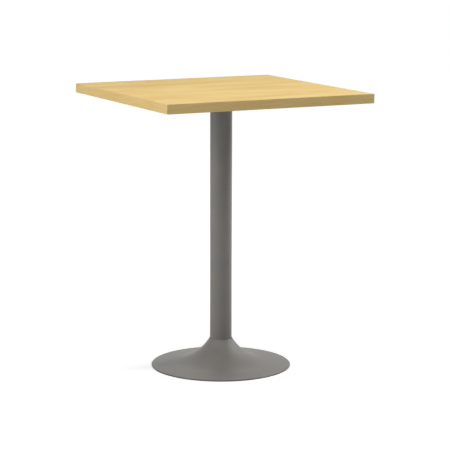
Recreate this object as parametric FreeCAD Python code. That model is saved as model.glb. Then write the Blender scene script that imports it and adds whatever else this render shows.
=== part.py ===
import FreeCAD, Part
import math
import os

# Standing-height meeting table: a square laminated top, a steel column and a spun trumpet foot.
#
# A cast spider under the top and a cast ballast in the foot clamp the column between them. One
# long tie rod runs down the middle of the column and pulls the three together. The trumpet cover
# is a thin spun shell that only dresses the casting. Four levellers screw up into the casting.
#
# Millimetres, +Z up. The origin is the centre of the foot on the floor, and the front of the
# table faces -Y. The grain of the top runs along X.

# --- Overall sizes ---
TABLE_HEIGHT = 1020.0
TOP_SIDE = 800.0
BASE_DIAMETER = 510.0
COLUMN_DIAMETER = 80.0

# --- Fits ---
SLIP_FIT = 0.2  # radial room between turned or drawn parts that slide into each other
THREAD_FIT = 0.1  # radial room between a plain shank and the thread that it stands for
SEAT_GAP = 0.3  # room under a curved sheet that rests on a casting

# --- Top: chipboard between two laminates, with a band glued on each edge ---
CORE_THICKNESS = 32.0
LAMINATE_THICKNESS = 0.8
BAND_THICKNESS = 2.0
BAND_ROUNDING = 1.0

# --- Top spider: a cast hub with four tapering arms ---
SPIDER_SEAT = 8.0  # metal between the column's end and the upper nut's pocket
SPIDER_HUB_OVERHANG = 6.0  # how far the hub stands out over the column
SPIDER_SPIGOT_LENGTH = 16.0
SPIDER_SPIGOT_WALL = 7.5
SPIDER_REACH = 185.0  # from the centre to the middle of a foot
SPIDER_FLANGE = 6.0
SPIDER_ROOT_WIDTH = 42.0
SPIDER_TIP_WIDTH = 24.0
SPIDER_WEB = 7.0
SPIDER_WEB_SAG = 3.0  # how far the lower edge of a web curves up from a straight line
SPIDER_FOOT_LENGTH = 54.0
SPIDER_FOOT_WIDTH = 22.0
SPIDER_CORNER_RADIUS = 10.0
SPIDER_CORNER_SHARE = 0.4  # the most of the gap between two arms that this radius may take
SPIDER_HUB_CHAMFER = 2.5
SPIDER_NUT_ROOM = 2.5  # from the end of the tie rod to the underside of the top
SCREW_SPACING = 34.0
ARM_ANGLES = (45, 135, 225, 315)

# --- Fasteners ---
SCREW_DIAMETER = 5.0
SCREW_HOLE = 5.8
SCREW_BITE = 22.0  # how far a wood screw goes into the top
SCREW_HEAD_DIAMETER = 10.5
SCREW_CROWN_DIAMETER = 6.5
SCREW_HEAD_HEIGHT = 3.4
ROD_DIAMETER = 12.0
ROD_HOLE = 13.5
ROD_PROUD_OF_NUT = 2.5
NUT_ACROSS_FLATS = 19.0
NUT_HEIGHT = 10.0
ROD_WASHER_DIAMETER = 30.0
ROD_WASHER_THICKNESS = 2.5
ROD_WASHER_ROOM = 5.0  # radial room round a washer in its pocket, for a socket wrench
SPRING_WASHER_DIAMETER = 21.0
SPRING_WASHER_THICKNESS = 2.5
SPRING_WASHER_SLIT = 1.6
SPRING_WASHER_SLIT_ANGLE = 25.0

# --- Column ---
COLUMN_WALL = 2.0

# --- Trumpet cover: spun sheet, a concave flare that runs out to a shallow cone ---
SHEET = 1.5
NECK_HEIGHT = 101.0
NECK_CLEARANCE = 0.8
NECK_SLOPE = math.radians(60.0)  # of the sheet at the neck, down from level
CONE_SLOPE = math.radians(7.4)  # of the sheet outside the flare, down from level
RIM_CLEARANCE = 1.4  # from the floor to the cut edge of the sheet
RIM_SKIRT = 2.0  # the upright stretch above the cut edge
RIM_FOLD = 2.0  # from the skirt's top and the cone's edge to the corner between them

# --- Rim trim: a soft U-section pushed onto the skirt of the cover ---
TRIM_WALL = 0.7

# --- Neck ring: a rubber wedge, stretched on the column, that centres the cover ---
NECK_RING_LENGTH = 15.0
NECK_RING_SET_BACK = 2.0

# --- Ballast casting ---
BALLAST_CLEARANCE = 3.0  # from the floor to its underside
BALLAST_INSET = 22.0  # from the cover's rim to the casting's edge
BALLAST_LAND = 10.0  # width of the ring that carries the cover
BALLAST_RELIEF = 1.0  # room under the cover inside that ring
BALLAST_PLATEAU = 17.0  # thickness of the disc around the hub
SOCKET_WALL = 13.0
SOCKET_FLOOR = 12.0  # metal between the column's seat and the lower pocket
HUB_HEADROOM = 18.0  # from the hub's rim up to the cover
HUB_DRAFT = math.radians(4.0)
HUB_CHAMFER = 2.5
NUT_POCKET_ROOM = 3.0  # from the end of the tie rod to the casting's underside
RIB_COUNT = 8
RIB_THICKNESS = 9.0
RIB_DROP = 5.0  # from the hub's rim down to the top of a rib

# --- Levellers ---
LEVELLER_COUNT = 4
LEVELLER_NAMES = ("back_right", "back_left", "front_left", "front_right")
STUD_DIAMETER = 8.0
STUD_TOP = 14.2
STUD_BOTTOM = 1.5
STUD_HEADROOM = 0.5
FOOT_ACROSS_FLATS = 27.0
FOOT_THICKNESS = 4.7
FOOT_CHAMFER = 1.2
FOOT_POCKET_ROOM = 2.0

# --- Places worked out from the sizes above ---
COLUMN_RADIUS = COLUMN_DIAMETER / 2
COLUMN_BORE = COLUMN_RADIUS - COLUMN_WALL
HALF_TOP = TOP_SIDE / 2
HALF_CORE = HALF_TOP - BAND_THICKNESS
CORE_TOP = TABLE_HEIGHT - LAMINATE_THICKNESS
CORE_UNDERSIDE = CORE_TOP - CORE_THICKNESS
TOP_UNDERSIDE = CORE_UNDERSIDE - LAMINATE_THICKNESS
SPIDER_FLANGE_UNDERSIDE = TOP_UNDERSIDE - SPIDER_FLANGE
UPPER_STACK = ROD_WASHER_THICKNESS + NUT_HEIGHT + ROD_PROUD_OF_NUT
SPIDER_POCKET_FLOOR = TOP_UNDERSIDE - SPIDER_NUT_ROOM - UPPER_STACK
SPIDER_UNDERSIDE = SPIDER_POCKET_FLOOR - SPIDER_SEAT
SCREW_TIP = TOP_UNDERSIDE + SCREW_BITE
PILOT_RADIUS = SCREW_DIAMETER / 2 + THREAD_FIT
ROD_POCKET_RADIUS = ROD_WASHER_DIAMETER / 2 + ROD_WASHER_ROOM
ROD_RADIUS = ROD_DIAMETER / 2 - THREAD_FIT / 2
RIM_RADIUS = BASE_DIAMETER / 2 - TRIM_WALL
NECK_RADIUS = COLUMN_RADIUS + NECK_CLEARANCE + SHEET * math.sin(NECK_SLOPE)
LOWER_STACK = UPPER_STACK + SPRING_WASHER_THICKNESS
NUT_POCKET_CEILING = BALLAST_CLEARANCE + NUT_POCKET_ROOM + LOWER_STACK
COLUMN_SEAT = NUT_POCKET_CEILING + SOCKET_FLOOR
SOCKET_RADIUS = COLUMN_RADIUS + SLIP_FIT
BALLAST_HUB_RADIUS = SOCKET_RADIUS + SOCKET_WALL
BALLAST_RADIUS = RIM_RADIUS - BALLAST_INSET
FOOT_POCKET_RADIUS = FOOT_ACROSS_FLATS / 2 / math.cos(math.pi / 6) + FOOT_POCKET_ROOM
FOOT_POCKET_CEILING = FOOT_THICKNESS + SEAT_GAP
UPPER_NUT_BOTTOM = SPIDER_POCKET_FLOOR + ROD_WASHER_THICKNESS
LOWER_WASHER_BOTTOM = NUT_POCKET_CEILING - ROD_WASHER_THICKNESS
SPRING_WASHER_BOTTOM = LOWER_WASHER_BOTTOM - SPRING_WASHER_THICKNESS
LOWER_NUT_BOTTOM = SPRING_WASHER_BOTTOM - NUT_HEIGHT
SPIDER_HUB_RADIUS = COLUMN_RADIUS + SPIDER_HUB_OVERHANG
SPIDER_ARM_ROOT = (SPIDER_HUB_RADIUS + ROD_POCKET_RADIUS) / 2
PLATEAU_TOP = BALLAST_CLEARANCE + BALLAST_PLATEAU

# The height of the corner where the cone's line would meet the skirt's, and the radius of the one
# arc that leaves the neck at its slope and runs into that line without a kink.
RIM_HEIGHT = RIM_CLEARANCE + RIM_SKIRT + RIM_FOLD
NECK_RISE = NECK_HEIGHT - RIM_HEIGHT - (RIM_RADIUS - NECK_RADIUS) * math.tan(CONE_SLOPE)
FLARE_RADIUS = NECK_RISE / (
    math.cos(CONE_SLOPE)
    - math.cos(NECK_SLOPE)
    - (math.sin(NECK_SLOPE) - math.sin(CONE_SLOPE)) * math.tan(CONE_SLOPE)
)
FLARE_CENTRE_R = NECK_RADIUS + FLARE_RADIUS * math.sin(NECK_SLOPE)
FLARE_CENTRE_Z = NECK_HEIGHT + FLARE_RADIUS * math.cos(NECK_SLOPE)


# --- Helpers ---


def point(radius, height):
    """A point of a half section, in the XZ plane."""
    return FreeCAD.Vector(radius, 0, height)


def line(start, end):
    return Part.LineSegment(start, end).toShape()


def outline(points):
    """A closed face through (radius, height) points of a half section."""
    corners = [point(r, z) for r, z in points]
    return Part.Face(Part.makePolygon(corners + corners[:1]))


def turned(face):
    """A half section turned once round the Z axis."""
    return face.revolve(FreeCAD.Vector(0, 0, 0), FreeCAD.Vector(0, 0, 1), 360)


def cylinder(radius, bottom, top, x=0.0, y=0.0):
    return Part.makeCylinder(radius, top - bottom, FreeCAD.Vector(x, y, bottom))


def tube(outer, inner, bottom, top):
    return cylinder(outer, bottom, top).cut(cylinder(inner, bottom, top))


def block(x_low, x_high, y_low, y_high, z_low, z_high):
    corner = FreeCAD.Vector(x_low, y_low, z_low)
    return Part.makeBox(x_high - x_low, y_high - y_low, z_high - z_low, corner)


def hexagon(across_flats, bottom, top):
    """An upright hexagonal prism on the Z axis, with two corners on the X axis."""
    corner_radius = across_flats / 2 / math.cos(math.pi / 6)
    angles = [math.pi / 3 * k for k in range(7)]
    corners = [
        FreeCAD.Vector(corner_radius * math.cos(a), corner_radius * math.sin(a), bottom)
        for a in angles
    ]
    return Part.Face(Part.makePolygon(corners)).extrude(FreeCAD.Vector(0, 0, top - bottom))


def spun(shape, degrees):
    """A copy of the shape, turned about the Z axis."""
    copy = shape.copy()
    copy.rotate(FreeCAD.Vector(0, 0, 0), FreeCAD.Vector(0, 0, 1), degrees)
    return copy


def joined(shapes):
    """One solid out of overlapping ones, with no seam left on a shared face."""
    return shapes[0].multiFuse(shapes[1:]).removeSplitter()


# --- The cover's section, shared by everything that fits under it ---


def on_flare(slope, depth):
    """The point of the flare where it has that slope, at a depth square to the outer face."""
    reach = FLARE_RADIUS + depth
    return point(
        FLARE_CENTRE_R - reach * math.sin(slope), FLARE_CENTRE_Z - reach * math.cos(slope)
    )


def flare_arc(depth):
    middle = (NECK_SLOPE + CONE_SLOPE) / 2
    ends = on_flare(NECK_SLOPE, depth), on_flare(middle, depth), on_flare(CONE_SLOPE, depth)
    return Part.Arc(*ends).toShape()


def cone_height(radius, depth):
    """The height of the cone outside the flare, at a depth square to its outer face."""
    rise = (RIM_RADIUS - radius) * math.tan(CONE_SLOPE)
    return RIM_HEIGHT + rise - depth / math.cos(CONE_SLOPE)


def cover_height(radius, depth):
    """The height of the cover at a radius, at a depth square to its outer face."""
    if radius >= on_flare(CONE_SLOPE, depth).x:
        return cone_height(radius, depth)
    reach = FLARE_RADIUS + depth
    return FLARE_CENTRE_Z - math.sqrt(reach**2 - (FLARE_CENTRE_R - radius) ** 2)


def cover_radius(height, depth):
    """The radius at which the cover has that height, at a depth square to its outer face."""
    if height <= on_flare(CONE_SLOPE, depth).z:
        return RIM_RADIUS - (height - cone_height(RIM_RADIUS, depth)) / math.tan(CONE_SLOPE)
    reach = FLARE_RADIUS + depth
    return FLARE_CENTRE_R - math.sqrt(reach**2 - (FLARE_CENTRE_Z - height) ** 2)


def fold(depth):
    """The two ends of the slant between the cone and the skirt, at a depth in the sheet."""
    bend = math.pi / 2 - CONE_SLOPE
    setback = RIM_FOLD - depth * math.tan(bend / 4) / math.cos(bend / 2)
    skirt = RIM_RADIUS - depth
    corner = point(skirt, cone_height(skirt, depth))
    along_cone = point(-math.cos(CONE_SLOPE), math.sin(CONE_SLOPE))
    return corner + along_cone * setback, corner + point(0, -setback)


def cover_curve(depth):
    """The edges of a line at that depth in the sheet, from the neck to the cut edge."""
    fold_start, fold_end = fold(depth)
    return [
        flare_arc(depth),
        line(on_flare(CONE_SLOPE, depth), fold_start),
        line(fold_start, fold_end),
        line(fold_end, point(fold_end.x, RIM_CLEARANCE)),
    ]


# --- Top ---


def screw_places():
    """The (x, y) of the eight screws, two in each foot of the spider, on the diagonals."""
    places = []
    for angle in map(math.radians, ARM_ANGLES):
        for side in (-1, 1):
            across = side * SCREW_SPACING / 2
            x = SPIDER_REACH * math.cos(angle) - across * math.sin(angle)
            y = SPIDER_REACH * math.sin(angle) + across * math.cos(angle)
            places.append((x, y))
    return places


def at_screws(radius, bottom, top):
    """One upright cylinder at each screw, as a group."""
    return Part.Compound([cylinder(radius, bottom, top, x, y) for x, y in screw_places()])


def core_board():
    board = block(-HALF_CORE, HALF_CORE, -HALF_CORE, HALF_CORE, CORE_UNDERSIDE, CORE_TOP)
    return board.cut(at_screws(PILOT_RADIUS, CORE_UNDERSIDE, SCREW_TIP))


def worktop_laminate():
    return block(-HALF_CORE, HALF_CORE, -HALF_CORE, HALF_CORE, CORE_TOP, TABLE_HEIGHT)


def backing_laminate():
    sheet = block(-HALF_CORE, HALF_CORE, -HALF_CORE, HALF_CORE, TOP_UNDERSIDE, CORE_UNDERSIDE)
    return sheet.cut(at_screws(PILOT_RADIUS, TOP_UNDERSIDE, CORE_UNDERSIDE))


def edge_bands():
    """The four bands by side: the front and back ones run past the ends of the other two."""
    whole = block(-HALF_TOP, HALF_TOP, -HALF_TOP, HALF_TOP, TOP_UNDERSIDE, TABLE_HEIGHT)
    long_edges = [edge for edge in whole.Edges if edge.Length > TOP_SIDE / 2]
    eased = whole.makeFillet(BAND_ROUNDING, long_edges)
    heights = (TOP_UNDERSIDE, TABLE_HEIGHT)
    strips = {
        "front": block(-HALF_TOP, HALF_TOP, -HALF_TOP, -HALF_CORE, *heights),
        "back": block(-HALF_TOP, HALF_TOP, HALF_CORE, HALF_TOP, *heights),
        "left": block(-HALF_TOP, -HALF_CORE, -HALF_CORE, HALF_CORE, *heights),
        "right": block(HALF_CORE, HALF_TOP, -HALF_CORE, HALF_CORE, *heights),
    }
    return {side: eased.common(strip) for side, strip in strips.items()}


def spider_screws():
    """Pan-headed wood screws, up through the spider's feet into the top."""
    head_bottom = SPIDER_FLANGE_UNDERSIDE - SCREW_HEAD_HEIGHT
    section = [
        (0, head_bottom),
        (SCREW_CROWN_DIAMETER / 2, head_bottom),
        (SCREW_HEAD_DIAMETER / 2, SPIDER_FLANGE_UNDERSIDE),
        (SCREW_DIAMETER / 2, SPIDER_FLANGE_UNDERSIDE),
        (SCREW_DIAMETER / 2, SCREW_TIP),
        (0, SCREW_TIP),
    ]
    screws = []
    for x, y in screw_places():
        screw = turned(outline(section))
        screw.translate(FreeCAD.Vector(x, y, 0))
        screws.append(screw)
    return Part.Compound(screws)


# --- Top spider ---


def spider_flange():
    """The flat upper flange of the arm along +X, from inside the hub to its foot."""
    corners = [
        (SPIDER_ARM_ROOT, -SPIDER_ROOT_WIDTH / 2),
        (SPIDER_REACH, -SPIDER_TIP_WIDTH / 2),
        (SPIDER_REACH, SPIDER_TIP_WIDTH / 2),
        (SPIDER_ARM_ROOT, SPIDER_ROOT_WIDTH / 2),
    ]
    points = [FreeCAD.Vector(x, y, SPIDER_FLANGE_UNDERSIDE) for x, y in corners]
    plan = Part.Face(Part.makePolygon(points + points[:1]))
    return plan.extrude(FreeCAD.Vector(0, 0, SPIDER_FLANGE))


def spider_foot():
    """The obround pad at the tip of the arm along +X, with its two screws side by side."""
    half_width = SPIDER_FOOT_WIDTH / 2
    half_run = SPIDER_FOOT_LENGTH / 2 - half_width
    heights = (SPIDER_FLANGE_UNDERSIDE, TOP_UNDERSIDE)
    low_x, high_x = SPIDER_REACH - half_width, SPIDER_REACH + half_width
    return joined(
        [
            block(low_x, high_x, -half_run, half_run, *heights),
            cylinder(half_width, *heights, SPIDER_REACH, half_run),
            cylinder(half_width, *heights, SPIDER_REACH, -half_run),
        ]
    )


def spider_web():
    """The rib under the arm along +X, deep at the hub and running out at the foot."""
    tip = SPIDER_REACH - SPIDER_FOOT_WIDTH / 2
    deep = SPIDER_UNDERSIDE + SPIDER_HUB_CHAMFER
    low_start, low_end = point(SPIDER_ARM_ROOT, deep), point(tip, SPIDER_FLANGE_UNDERSIDE)
    middle = (low_start + low_end) * 0.5 + point(0, SPIDER_WEB_SAG)
    high_end, high_start = point(tip, TOP_UNDERSIDE), point(SPIDER_ARM_ROOT, TOP_UNDERSIDE)
    edges = [
        Part.Arc(low_start, middle, low_end).toShape(),
        line(low_end, high_end),
        line(high_end, high_start),
        line(high_start, low_start),
    ]
    web = Part.Face(Part.Wire(edges)).extrude(FreeCAD.Vector(0, SPIDER_WEB, 0))
    web.translate(FreeCAD.Vector(0, -SPIDER_WEB / 2, 0))
    return web


def spider_hub():
    """The hub before it is bored, with the spigot that locates it in the column."""
    spigot_bottom = SPIDER_UNDERSIDE - SPIDER_SPIGOT_LENGTH
    spigot_outer = COLUMN_BORE - SLIP_FIT
    spigot_inner = spigot_outer - SPIDER_SPIGOT_WALL
    section = [
        (0, SPIDER_UNDERSIDE),
        (spigot_inner, SPIDER_UNDERSIDE),
        (spigot_inner, spigot_bottom),
        (spigot_outer, spigot_bottom),
        (spigot_outer, SPIDER_UNDERSIDE),
        (SPIDER_HUB_RADIUS - SPIDER_HUB_CHAMFER, SPIDER_UNDERSIDE),
        (SPIDER_HUB_RADIUS, SPIDER_UNDERSIDE + SPIDER_HUB_CHAMFER),
        (SPIDER_HUB_RADIUS, TOP_UNDERSIDE),
        (0, TOP_UNDERSIDE),
    ]
    return turned(outline(section))


def inner_corners(cross):
    """The upright edges where the sides of the flanges run into the hub."""
    found = []
    for edge in cross.Edges:
        upright = abs(edge.BoundBox.ZLength - edge.Length) < 1e-6
        middle = edge.CenterOfMass
        if upright and math.hypot(middle.x, middle.y) < SPIDER_HUB_RADIUS + 1e-3:
            found.append(edge)
    return found


def spider_cross():
    """The four flanges with a plate in their middle, and a radius in each corner between them."""
    plate = cylinder(SPIDER_HUB_RADIUS, SPIDER_FLANGE_UNDERSIDE, TOP_UNDERSIDE)
    cross = joined([plate] + [spun(spider_flange(), angle) for angle in ARM_ANGLES])
    half_flange = math.asin(SPIDER_ROOT_WIDTH / 2 / SPIDER_HUB_RADIUS)
    gap = 2 * SPIDER_HUB_RADIUS * math.sin(math.pi / 4 - half_flange)
    corner_radius = min(SPIDER_CORNER_RADIUS, SPIDER_CORNER_SHARE * gap)
    return cross.makeFillet(corner_radius, inner_corners(cross))


def top_spider():
    pieces = [spider_cross(), spider_hub()]
    for angle in ARM_ANGLES:
        pieces.append(spun(spider_foot(), angle))
        pieces.append(spun(spider_web(), angle))
    casting = joined(pieces)
    casting = casting.cut(cylinder(ROD_POCKET_RADIUS, SPIDER_POCKET_FLOOR, TOP_UNDERSIDE))
    casting = casting.cut(cylinder(ROD_HOLE / 2, SPIDER_UNDERSIDE, TOP_UNDERSIDE))
    return casting.cut(at_screws(SCREW_HOLE / 2, SPIDER_FLANGE_UNDERSIDE, TOP_UNDERSIDE))


# --- Column and tie rod ---


def column_tube():
    return tube(COLUMN_RADIUS, COLUMN_BORE, COLUMN_SEAT, SPIDER_UNDERSIDE)


def rod_washer(bottom):
    return tube(ROD_WASHER_DIAMETER / 2, ROD_HOLE / 2, bottom, bottom + ROD_WASHER_THICKNESS)


def hex_nut(bottom):
    nut = hexagon(NUT_ACROSS_FLATS, bottom, bottom + NUT_HEIGHT)
    return nut.cut(cylinder(ROD_DIAMETER / 2, bottom, bottom + NUT_HEIGHT))


def lower_spring_washer():
    """A split ring, flattened under the load of the tie rod."""
    bottom = SPRING_WASHER_BOTTOM
    radius = SPRING_WASHER_DIAMETER / 2
    ring = tube(radius, ROD_HOLE / 2, bottom, bottom + SPRING_WASHER_THICKNESS)
    half_slit = SPRING_WASHER_SLIT / 2
    slit = block(0, 2 * radius, -half_slit, half_slit, bottom - radius, bottom + radius)
    middle = FreeCAD.Vector(0, 0, bottom + SPRING_WASHER_THICKNESS / 2)
    slit.rotate(middle, FreeCAD.Vector(1, 0, 0), SPRING_WASHER_SLIT_ANGLE)
    return ring.cut(slit)


def tie_rod():
    bottom = LOWER_NUT_BOTTOM - ROD_PROUD_OF_NUT
    return cylinder(ROD_RADIUS, bottom, UPPER_NUT_BOTTOM + NUT_HEIGHT + ROD_PROUD_OF_NUT)


# --- Foot ---


def trumpet_cover():
    """The spun shell: one sheet between its outer line and a parallel inner line."""
    outer, inner = cover_curve(0), cover_curve(SHEET)
    neck_edge = line(on_flare(NECK_SLOPE, SHEET), on_flare(NECK_SLOPE, 0))
    cut_edge = line(
        point(RIM_RADIUS, RIM_CLEARANCE), point(RIM_RADIUS - SHEET, RIM_CLEARANCE)
    )
    loop = Part.Wire([neck_edge] + outer + [cut_edge] + inner[::-1])
    return turned(Part.Face(loop))


def neck_ring():
    """A wedge between the column and the flare, a little below the neck."""
    top = NECK_HEIGHT - NECK_RING_SET_BACK
    bottom = top - NECK_RING_LENGTH
    middle = (top + bottom) / 2
    room = SHEET + SLIP_FIT
    slope = math.acos((FLARE_CENTRE_Z - middle) / (FLARE_RADIUS + room))
    spread = NECK_RING_LENGTH / 2 / math.tan(slope)
    section = [
        (COLUMN_RADIUS, bottom),
        (cover_radius(middle, room) + spread, bottom),
        (cover_radius(middle, room) - spread, top),
        (COLUMN_RADIUS, top),
    ]
    return turned(outline(section))


def rim_trim():
    """The U-section: two lips and a floor round the skirt of the sheet."""
    slot_outer, slot_inner = RIM_RADIUS, RIM_RADIUS - SHEET
    outer_top, inner_top = fold(0)[1].z, fold(SHEET)[1].z
    section = [
        (slot_inner - TRIM_WALL, RIM_CLEARANCE - TRIM_WALL),
        (slot_outer + TRIM_WALL, RIM_CLEARANCE - TRIM_WALL),
        (slot_outer + TRIM_WALL, outer_top),
        (slot_outer, outer_top),
        (slot_outer, RIM_CLEARANCE),
        (slot_inner, RIM_CLEARANCE),
        (slot_inner, inner_top),
        (slot_inner - TRIM_WALL, inner_top),
    ]
    return turned(outline(section))


def leveller_circle():
    """As far out as the cover still leaves headroom over the end of a stud."""
    return cover_radius(STUD_TOP + STUD_HEADROOM, SHEET) - STUD_DIAMETER / 2


def leveller_places():
    """The (x, y) of each leveller, on the diagonals."""
    places = []
    for k in range(LEVELLER_COUNT):
        angle = math.radians(45) + 2 * math.pi * k / LEVELLER_COUNT
        places.append((leveller_circle() * math.cos(angle), leveller_circle() * math.sin(angle)))
    return places


def ballast_hub(hub_top):
    """The socket's wall before it is bored, drafted and with a chamfer round its top."""
    rise = hub_top - BALLAST_CLEARANCE
    top = BALLAST_HUB_RADIUS
    section = [
        (0, BALLAST_CLEARANCE),
        (top + rise * math.tan(HUB_DRAFT), BALLAST_CLEARANCE),
        (top + HUB_CHAMFER * math.tan(HUB_DRAFT), hub_top - HUB_CHAMFER),
        (top - HUB_CHAMFER, hub_top),
        (0, hub_top),
    ]
    return turned(outline(section))


def ballast_rib(hub_top):
    """The gusset along +X: its upper edge runs down from the hub, parallel to the flare."""
    root = SOCKET_RADIUS + SOCKET_WALL / 2
    start = point(BALLAST_HUB_RADIUS, hub_top - RIB_DROP)
    depth = start.distanceToPoint(point(FLARE_CENTRE_R, FLARE_CENTRE_Z)) - FLARE_RADIUS
    end = point(cover_radius(PLATEAU_TOP, depth), PLATEAU_TOP)
    halfway = (start.x + end.x) / 2
    middle = point(halfway, cover_height(halfway, depth))
    low_end, low_start = point(end.x, BALLAST_CLEARANCE), point(root, BALLAST_CLEARANCE)
    edges = [
        line(point(root, start.z), start),
        Part.Arc(start, middle, end).toShape(),
        line(end, low_end),
        line(low_end, low_start),
        line(low_start, point(root, start.z)),
    ]
    rib = Part.Face(Part.Wire(edges)).extrude(FreeCAD.Vector(0, RIB_THICKNESS, 0))
    rib.translate(FreeCAD.Vector(0, -RIB_THICKNESS / 2, 0))
    return rib


def ballast_disc():
    """The disc: a conical top under the cover, relieved inside its land, and a flat middle."""
    land, relief = SHEET + SEAT_GAP, SHEET + BALLAST_RELIEF
    land_inner = BALLAST_RADIUS - BALLAST_LAND
    cone_run = (PLATEAU_TOP - cone_height(land_inner, relief)) / math.tan(CONE_SLOPE)
    section = [
        (0, BALLAST_CLEARANCE),
        (BALLAST_RADIUS, BALLAST_CLEARANCE),
        (BALLAST_RADIUS, cone_height(BALLAST_RADIUS, land)),
        (land_inner, cone_height(land_inner, land)),
        (land_inner, cone_height(land_inner, relief)),
        (land_inner - cone_run, PLATEAU_TOP),
        (0, PLATEAU_TOP),
    ]
    return turned(outline(section))


def ballast_casting():
    """A disc that fills the foot under the cover, with a ribbed socket for the column."""
    bottom = BALLAST_CLEARANCE
    hub_top = cover_height(BALLAST_HUB_RADIUS, SHEET) - HUB_HEADROOM
    ribs = [spun(ballast_rib(hub_top), 360 * k / RIB_COUNT) for k in range(RIB_COUNT)]
    casting = joined([ballast_disc(), ballast_hub(hub_top)] + ribs)
    casting = casting.cut(cylinder(SOCKET_RADIUS, COLUMN_SEAT, hub_top))
    casting = casting.cut(cylinder(ROD_HOLE / 2, bottom, COLUMN_SEAT))
    casting = casting.cut(cylinder(ROD_POCKET_RADIUS, bottom, NUT_POCKET_CEILING))
    for x, y in leveller_places():
        casting = casting.cut(cylinder(FOOT_POCKET_RADIUS, bottom, FOOT_POCKET_CEILING, x, y))
        casting = casting.cut(cylinder(STUD_DIAMETER / 2, bottom, PLATEAU_TOP, x, y))
    return casting


# --- Levellers ---


def leveller_stud(x, y):
    return cylinder(STUD_DIAMETER / 2 - THREAD_FIT, STUD_BOTTOM, STUD_TOP, x, y)


def leveller_foot(x, y):
    """The hexagonal foot, moulded round the lower end of the stud."""
    foot = hexagon(FOOT_ACROSS_FLATS, 0, FOOT_THICKNESS)
    low_edges = [edge for edge in foot.Edges if edge.BoundBox.ZMax < FOOT_THICKNESS / 2]
    foot = foot.makeChamfer(FOOT_CHAMFER, low_edges)
    foot.translate(FreeCAD.Vector(x, y, 0))
    return foot.cut(leveller_stud(x, y))


# --- The whole table ---


def all_nodes():
    nodes = {
        "core_board": core_board(),
        "worktop_laminate": worktop_laminate(),
        "backing_laminate": backing_laminate(),
        "spider_screws": spider_screws(),
        "top_spider": top_spider(),
        "column_tube": column_tube(),
        "tie_rod": tie_rod(),
        "upper_tie_washer": rod_washer(SPIDER_POCKET_FLOOR),
        "upper_tie_nut": hex_nut(UPPER_NUT_BOTTOM),
        "lower_tie_washer": rod_washer(LOWER_WASHER_BOTTOM),
        "lower_spring_washer": lower_spring_washer(),
        "lower_tie_nut": hex_nut(LOWER_NUT_BOTTOM),
        "trumpet_cover": trumpet_cover(),
        "neck_ring": neck_ring(),
        "rim_trim": rim_trim(),
        "ballast_casting": ballast_casting(),
    }
    for side, band in edge_bands().items():
        nodes["edge_band_" + side] = band
    for name, (x, y) in zip(LEVELLER_NAMES, leveller_places()):
        nodes["leveller_stud_" + name] = leveller_stud(x, y)
        nodes["leveller_foot_" + name] = leveller_foot(x, y)
    return nodes


def main():
    os.makedirs("parts", exist_ok=True)
    for name, shape in all_nodes().items():
        solids = shape.Solids
        whole = solids[0] if len(solids) == 1 else Part.Compound(solids)
        whole.exportStep("parts/" + name + ".step")
        volume = sum(solid.Volume for solid in solids)
        print(f"{name}: {len(solids)} solid(s), {volume / 1000:.1f} cm3, valid {whole.isValid()}")


if __name__ == "__main__":
    main()
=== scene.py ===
import math

import bmesh
import bpy
from mathutils import Matrix, Vector


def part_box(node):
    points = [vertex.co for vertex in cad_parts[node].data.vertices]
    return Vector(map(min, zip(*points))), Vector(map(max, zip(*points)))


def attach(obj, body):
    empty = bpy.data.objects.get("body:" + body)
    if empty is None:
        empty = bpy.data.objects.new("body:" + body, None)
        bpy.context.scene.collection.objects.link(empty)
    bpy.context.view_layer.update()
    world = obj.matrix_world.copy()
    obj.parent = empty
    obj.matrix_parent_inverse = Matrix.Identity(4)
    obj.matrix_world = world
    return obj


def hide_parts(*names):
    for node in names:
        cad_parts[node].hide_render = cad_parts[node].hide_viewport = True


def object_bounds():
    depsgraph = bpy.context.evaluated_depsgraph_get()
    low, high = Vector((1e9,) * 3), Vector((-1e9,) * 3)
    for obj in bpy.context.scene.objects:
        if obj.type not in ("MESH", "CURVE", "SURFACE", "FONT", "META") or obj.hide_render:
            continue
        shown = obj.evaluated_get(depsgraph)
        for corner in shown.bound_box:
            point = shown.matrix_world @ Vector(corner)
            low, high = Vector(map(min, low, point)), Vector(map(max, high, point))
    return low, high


# Finishes, threaded fasteners and a studio for a standing-height meeting table.
#
# Metres, +Z up. The foot stands at the origin and the front edge faces -Y. The grain of the top
# runs along X. Pieces are made in place, so each one's own coordinates are those of the table.

bl_info = {
    "name": "Standing Meeting Table",
    "version": (1, 0, 0),
    "blender": (4, 5, 0),
    "location": "View3D > Sidebar > Table",
    "description": "Finishes, fasteners and studio for a standing-height meeting table",
    "category": "Object",
}

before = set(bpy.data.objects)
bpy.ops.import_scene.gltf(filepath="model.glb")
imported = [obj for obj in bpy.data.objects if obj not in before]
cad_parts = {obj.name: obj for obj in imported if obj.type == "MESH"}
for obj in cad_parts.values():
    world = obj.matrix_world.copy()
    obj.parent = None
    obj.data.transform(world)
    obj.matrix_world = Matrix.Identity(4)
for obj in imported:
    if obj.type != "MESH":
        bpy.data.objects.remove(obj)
CAD_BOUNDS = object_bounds()
MM = 0.001

CORNERS = ("back_right", "back_left", "front_left", "front_right")

# The side of the square image in pixels, and the camera's sensor in millimetres.
IMAGE_SIDE = 450
SENSOR_WIDTH = 36.0

# Points nearer than this are welded, and flatter edges than this are shaded smooth.
WELD_DISTANCE = 1e-6
SMOOTH_ANGLE = math.radians(32)

# A thread's depth as a share of its pitch, how much steeper its sides are than those of a V as
# wide as the pitch, which leaves a flat bottom, and the rings that draw one turn of it.
THREAD_DEPTH = 0.61
THREAD_STEEPNESS = 1.35
RINGS_PER_TURN = 8

# The round edge of a nut's chamfer, as a share of its width across flats.
NUT_CHAMFER = 0.95

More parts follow.
